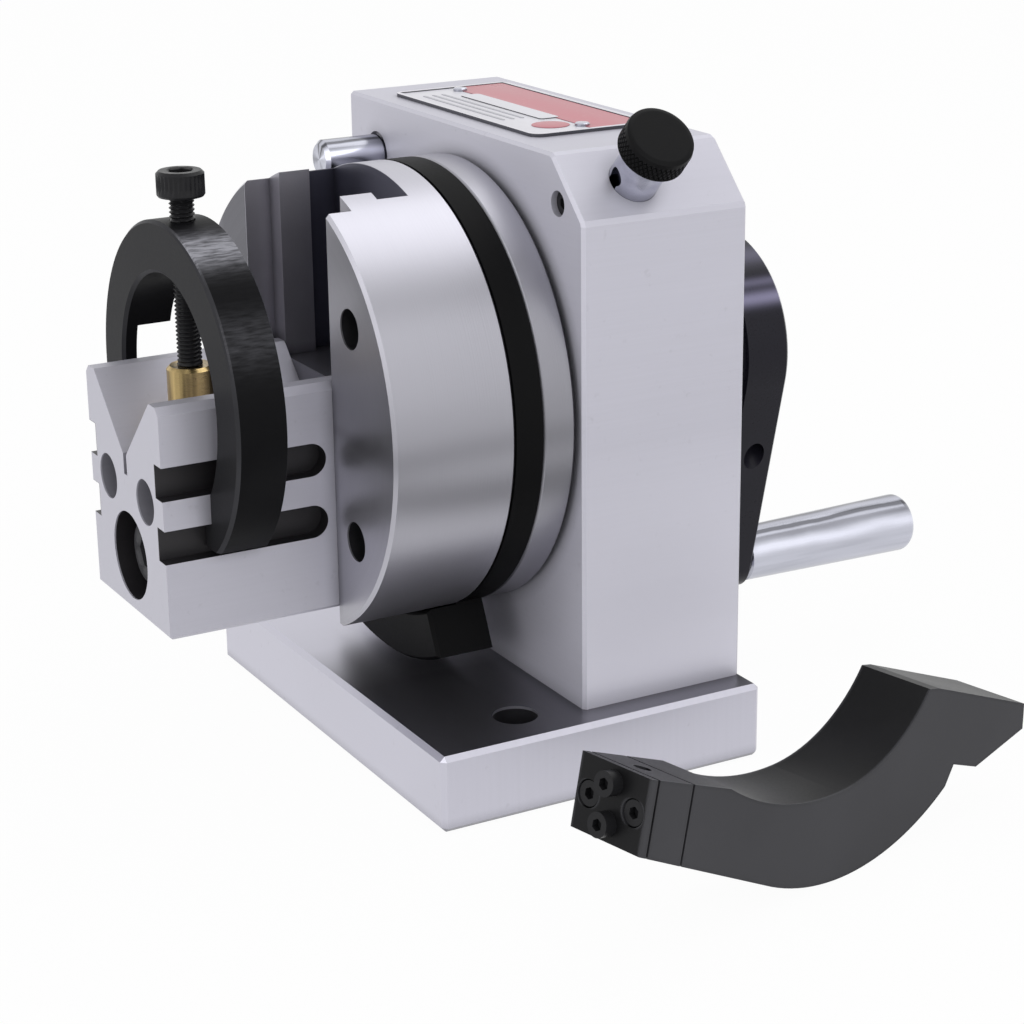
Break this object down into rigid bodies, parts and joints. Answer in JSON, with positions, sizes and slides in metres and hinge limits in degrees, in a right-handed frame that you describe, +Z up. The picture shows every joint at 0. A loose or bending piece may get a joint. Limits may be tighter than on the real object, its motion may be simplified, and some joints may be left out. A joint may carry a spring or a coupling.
{
  "type": "punch former",
  "caption": "Indexing grinding fixture: a vee block with strap clamp slides on a crank-turned faceplate, with an index plunger, a stop pin and a loose dresser arm.",
  "frame": {"origin": "middle of the base plate's underside", "axes": "+X along the spindle from the vee block towards the crank, +Y across the base away from the index plunger, +Z up"},
  "size_m": [0.2236, 0.2065, 0.1619],
  "materials": {
    "ground_steel": "ground and turned",
    "black_steel": "black oxide",
    "bright_steel": "polished",
    "black_screw": "black oxide",
    "bronze": "bored",
    "brass": "turned",
    "plate_metal": "red and silver enamel"
  },
  "bodies": {
    "base": {"base_plate": "ground_steel", "column": "ground_steel", "foot_screws": "black_screw", "foot_dowels": "bright_steel", "front_bush": "bronze", "rear_bush": "bronze", "rear_cover": "bright_steel", "rear_cover_screws": "black_screw", "stop_pin": "bright_steel", "guide_screw": "black_screw", "name_plate": "plate_metal", "name_plate_rivets": "plate_metal"},
    "spindle": {"spindle": "ground_steel", "stop_ring": "black_steel", "faceplate": "ground_steel", "faceplate_screws": "black_screw", "index_wheel": "bright_steel", "index_key": "bright_steel", "lock_nut": "black_steel", "crank": "black_steel", "crank_set_screw": "black_screw", "handle_bolt": "black_screw"},
    "handle": {"handle": "bright_steel"},
    "plunger": {"plunger": "bright_steel", "knob": "black_steel"},
    "block": {"vee_block": "ground_steel", "tee_slider": "bright_steel", "block_screws": "black_screw", "lock_screw": "black_screw"},
    "clamp": {"clamp_bow": "black_steel"},
    "pad": {"brass_pad": "brass"},
    "clamp_screw": {"clamp_screw": "black_screw"},
    "dresser": {"dresser_arm": "black_steel", "tool_block": "black_steel", "end_plate": "black_steel", "arm_screws": "black_screw", "tool_screws": "black_screw"}
  },
  "joints": [
    {"name": "spindle_turn", "type": "hinge", "parent": "base", "child": "spindle", "pos_m": [0, 0, 0.089], "axis": [1, 0, 0], "range_deg": [-195, 105]},
    {"name": "handle_turn", "type": "hinge", "parent": "spindle", "child": "handle", "pos_m": [0.1, -0.00527, 0.02873], "axis": [1, 0, 0], "continuous": true},
    {"name": "plunger_slide", "type": "slide", "parent": "base", "child": "plunger", "axis": [0, 0.7071, -0.7071], "range_m": [0, 0.006]},
    {"name": "block_slide", "type": "slide", "parent": "spindle", "child": "block", "axis": [0, 0, 1], "range_m": [-0.012, 0.02]},
    {"name": "clamp_slide", "type": "slide", "parent": "block", "child": "clamp", "axis": [1, 0, 0], "range_m": [-0.011, 0.013]},
    {"name": "pad_slide", "type": "slide", "parent": "clamp", "child": "pad", "axis": [0, 0, 1], "range_m": [0, 0.02]},
    {"name": "clamp_screw_turn", "type": "hinge", "parent": "pad", "child": "clamp_screw", "pos_m": [-0.075, 0, 0.14], "axis": [0, 0, 1], "range_deg": [0, 7201]},
    {"name": "dresser_lift", "type": "slide", "parent": "base", "child": "dresser", "axis": [0, 0, 1], "range_m": [0, 0.15]}
  ],
  "couplings": [
    {"joint": "clamp_screw_turn", "follows": "pad_slide", "rad_per_m": 6283.2}
  ]
}
